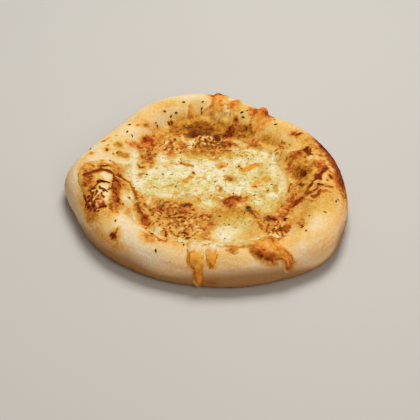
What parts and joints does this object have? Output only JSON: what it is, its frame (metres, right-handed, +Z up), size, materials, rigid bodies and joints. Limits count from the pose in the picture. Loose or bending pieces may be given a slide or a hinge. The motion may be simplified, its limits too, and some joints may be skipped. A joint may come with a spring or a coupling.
{
  "type": "garlic bread",
  "caption": "Round garlic flatbread with a thick rolled rim, its dish filled with melted browned cheese that has run over the rim in places, with herb flakes.",
  "frame": {"origin": "bottom centre of the overall box, at the level that the base rests on", "axes": "+Z up through the bread's thickness, -Y towards the pictured front, +X to the right seen from there"},
  "size_m": [0.2388, 0.2416, 0.0367],
  "materials": {
    "baked_dough": "soft floury crust, pale at the sides and golden brown on the crest",
    "melted_cheese": "melted, slightly oily cheese, creamy with browned patches"
  },
  "bodies": {
    "root": {"bread": "baked_dough", "melted_cheese": "melted_cheese"}
  },
  "joints": []
}
